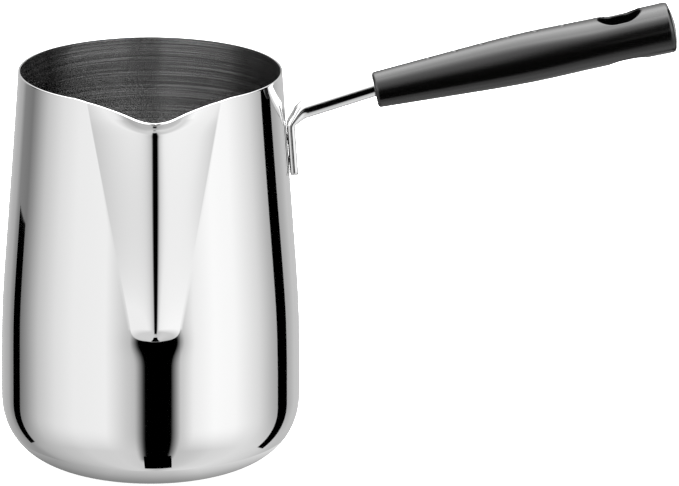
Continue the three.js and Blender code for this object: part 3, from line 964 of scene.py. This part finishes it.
def make_world():
    """The tent is seen in reflections only; the camera sees plain white."""
    world = bpy.data.worlds.new("light tent")
    bpy.context.scene.world = world
    world.use_nodes = True
    tree = Tree(world.node_tree)
    place = tree.add("ShaderNodeTexCoord")
    split = tree.add("ShaderNodeSeparateXYZ")
    tree.link(place.outputs["Generated"], split.inputs[0])
    x, y, z = split.outputs
    turn = tree.math("ARCTAN2", x, tree.math("MULTIPLY", y, -1.0))
    azimuth = tree.math("SUBTRACT", tree.math("DEGREES", turn), CAMERA_AZIMUTH)
    elevation = tree.math("DEGREES", tree.math("ARCSINE", z))

    walls = tent_walls(tree, azimuth, elevation)
    overhead = overhead_light(tree, place.outputs["Generated"])
    seen = tree.math("ADD", walls, tree.math("MULTIPLY", overhead, OVERHEAD_BRIGHTNESS))
    path = tree.add("ShaderNodeLightPath")
    final = mix(tree, path.outputs["Is Camera Ray"], seen, 1.0)
    background = tree.add("ShaderNodeBackground")
    tree.link(final, background.inputs["Color"])
    output = tree.add("ShaderNodeOutputWorld")
    tree.link(background.outputs[0], output.inputs["Surface"])


def mix(tree, factor, first, second):
    """first + (second - first) * factor, for grey values."""
    change = tree.math("SUBTRACT", second, first)
    return tree.math("ADD", first, tree.math("MULTIPLY", change, factor))


def plain_quad(name, corners, material):
    obj = mesh_object(name, corners, [(0, 1, 2, 3)], [material])
    return obj


TABLE_HALF_SIZE = 6000.0
TABLE_HEIGHT = -0.05
TABLE_GREY = (0.9, 0.9, 0.9, 1.0)
TABLE_GLOW = 0.85


def make_table():
    """White table, lit past white except where the pot touches it."""
    material, _, shader = new_material("table")
    shader.inputs["Base Color"].default_value = TABLE_GREY
    shader.inputs["Roughness"].default_value = 1.0
    shader.inputs["Specular IOR Level"].default_value = 0.0
    shader.inputs["Emission Color"].default_value = (1.0, 1.0, 1.0, 1.0)
    shader.inputs["Emission Strength"].default_value = TABLE_GLOW
    size = TABLE_HALF_SIZE
    sides = [(-size, -size), (size, -size), (size, size), (-size, size)]
    corners = [(x, y, TABLE_HEIGHT) for x, y in sides]
    table = plain_quad("table", corners, material)
    table.visible_glossy = False


# What the pot's bottom corner mirrors of the table under it, as a painted shadow that darkens towards
# the pot's axis: distance from the axis, brightness.
UNDER_POT = [(36, 0.20), (44, 0.32), (48, 0.44), (52, 0.60), (57, 0.76)]
# Painted side light on the same card: a brightness factor by sideways distance, darker to the left and
# brighter to the right.
UNDER_POT_PAINTED_SIDE_LIGHT = [(-45, 0.62), (-20, 0.95), (-5, 1.0), (8, 1.05), (20, 1.25), (45, 1.2)]
UNDER_POT_HEIGHT = -0.04
UNDER_POT_CORNERS = 96


def make_under_pot():
    """A round glowing card on the table that only reflections see, with a painted shadow where the pot
    would shade it and painted light that is brighter to the right.
    """
    material = bpy.data.materials.new("painted shadow card")
    material.use_nodes = True
    tree = Tree(material.node_tree)
    place = tree.add("ShaderNodeTexCoord")
    length = tree.add("ShaderNodeVectorMath", operation="LENGTH")
    tree.link(place.outputs["Object"], length.inputs[0])
    # The ramps span 100 mm.
    span = 100.0
    share = tree.math("DIVIDE", length.outputs["Value"], span * MM)
    # Painted shadow: darker towards the pot's axis.
    grey = tree.ramp(share, [(distance / span, value) for distance, value in UNDER_POT])
    # Painted side light: brighter to the right.
    split = tree.add("ShaderNodeSeparateXYZ")
    tree.link(place.outputs["Object"], split.inputs[0])
    sideways = tree.math("ADD", tree.math("DIVIDE", split.outputs[0], span * MM), 0.5)
    sides = tree.ramp(sideways, [(x / span + 0.5, value) for x, value in UNDER_POT_PAINTED_SIDE_LIGHT])
    # The card glows with the painted shadow and painted side light; it is no lamp.
    glow = tree.add("ShaderNodeEmission")
    tree.link(tree.math("MULTIPLY", grey, sides), glow.inputs["Color"])
    output = tree.add("ShaderNodeOutputMaterial")
    tree.link(glow.outputs[0], output.inputs["Surface"])
    turn = np.linspace(0.0, 2.0 * math.pi, UNDER_POT_CORNERS, endpoint=False)
    reach = UNDER_POT[-1][0]
    level = np.full_like(turn, UNDER_POT_HEIGHT)
    ring = np.stack([reach * np.cos(turn), reach * np.sin(turn), level], -1)
    card = mesh_object("painted shadow card", ring, [tuple(range(UNDER_POT_CORNERS))], [material])
    only_mirrored(card)


# A black card at the left, behind the pot, that only reflections see.
SIDE_CARD_AZIMUTHS = (-133.0, -121.0)
SIDE_CARD_DISTANCE = 600.0
SIDE_CARD_HEIGHTS = (-430.0, -25.0)
# A black strip on the table in front of the pot: place of its ends, left and right side there.
FRONT_STRIP = [(-59.5, -4.9, 8.8), (-76.0, -7.2, 11.6)]
FRONT_STRIP_HEIGHT = -0.035
# A black card at the right, behind the pot: the wall's azimuths that mirror its edges, its
# distance, and how far it leans towards the front at each height.
RIGHT_CARD_SEEN_AT = (57.8, 65.4)
RIGHT_CARD_DISTANCE = 330.0
RIGHT_CARD_LEAN = [(-285.0, 0.0), (-60.0, 0.0), (90.0, 27.0), (450.0, 27.0)]


def black_card():
    material, _, shader = new_material("black card")
    shader.inputs["Base Color"].default_value = (0.0, 0.0, 0.0, 1.0)
    shader.inputs["Specular IOR Level"].default_value = 0.0
    return material


def only_mirrored(card):
    """Only reflections see the card."""
    card.visible_camera = False
    card.visible_diffuse = False
    card.visible_shadow = False


def make_front_strip():
    (near, near_left, near_right), (far, far_left, far_right) = FRONT_STRIP
    sides = [(far_left, far), (far_right, far), (near_right, near), (near_left, near)]
    corners = [(x, y, FRONT_STRIP_HEIGHT) for x, y in sides]
    only_mirrored(plain_quad("front strip", corners, black_card()))


def make_side_card():
    first, last = (math.radians(a + CAMERA_AZIMUTH) for a in SIDE_CARD_AZIMUTHS)
    middle = math.radians(sum(SIDE_CARD_AZIMUTHS) / 4.0 + CAMERA_AZIMUTH)
    foot = np.array([math.sin(middle), -math.cos(middle)]) * POT_RADIUS
    ends = [foot + SIDE_CARD_DISTANCE * np.array([math.sin(a), -math.cos(a)]) for a in (first, last)]
    (x0, y0), (x1, y1) = ends
    low, top = SIDE_CARD_HEIGHTS
    corners = [(x0, y0, low), (x1, y1, low), (x1, y1, top), (x0, y0, top)]
    only_mirrored(plain_quad("side card", corners, black_card()))


def make_right_card():
    ends = []
    for seen_at in RIGHT_CARD_SEEN_AT:
        place = math.radians(seen_at + CAMERA_AZIMUTH)
        onward = math.radians(2.0 * seen_at + CAMERA_AZIMUTH)
        on_wall = POT_RADIUS * np.array([math.sin(place), -math.cos(place)])
        ahead = np.array([math.sin(onward), -math.cos(onward)])
        ends.append(on_wall + RIGHT_CARD_DISTANCE * ahead)
    front, back = ends
    lean = (front - back) / np.linalg.norm(front - back)
    points = []
    for height, shift in RIGHT_CARD_LEAN:
        for end in (front, back):
            points.append((*(end + lean * shift), height))
    faces = [(i, i + 1, i + 3, i + 2) for i in range(0, len(points) - 2, 2)]
    card = mesh_object("right card", points, faces, [black_card()])
    only_mirrored(card)


LAMP_HEIGHT = 1.9
LAMP_SIDE = 2.4
LAMP_POWER = 60.0
GLOSSY_BOUNCES = 9


def make_lamp():
    """Overhead soft box that lights the table past white."""
    data = bpy.data.lights.new("soft box", "AREA")
    data.shape = "SQUARE"
    data.size = LAMP_SIDE
    data.energy = LAMP_POWER
    lamp = bpy.data.objects.new("soft box", data)
    lamp.location = (0.0, 0.0, LAMP_HEIGHT)
    lamp.visible_glossy = False
    lamp.visible_camera = False
    bpy.context.scene.collection.objects.link(lamp)


# ---- Everything -----------------------------------------------------------------------------

make_world()
make_table()
make_under_pot()
make_side_card()
make_front_strip()
make_right_card()
make_lamp()
bpy.context.scene.view_settings.view_transform = "Standard"
bpy.context.scene.cycles.glossy_bounces = GLOSSY_BOUNCES

steel_outside = polished_steel()
steel_inside = brushed_steel()
stand_in(make_pot(steel_outside, steel_inside), "pot_body")
stand_in(make_tube(tube_steel()), "handle_tube")
stand_in(make_grip(black_plastic()), "grip")
weld = weld_steel()
for name in ("spot_weld_lower", "spot_weld_upper"):
    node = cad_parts[name]
    node.data.materials.clear()
    node.data.materials.append(weld)
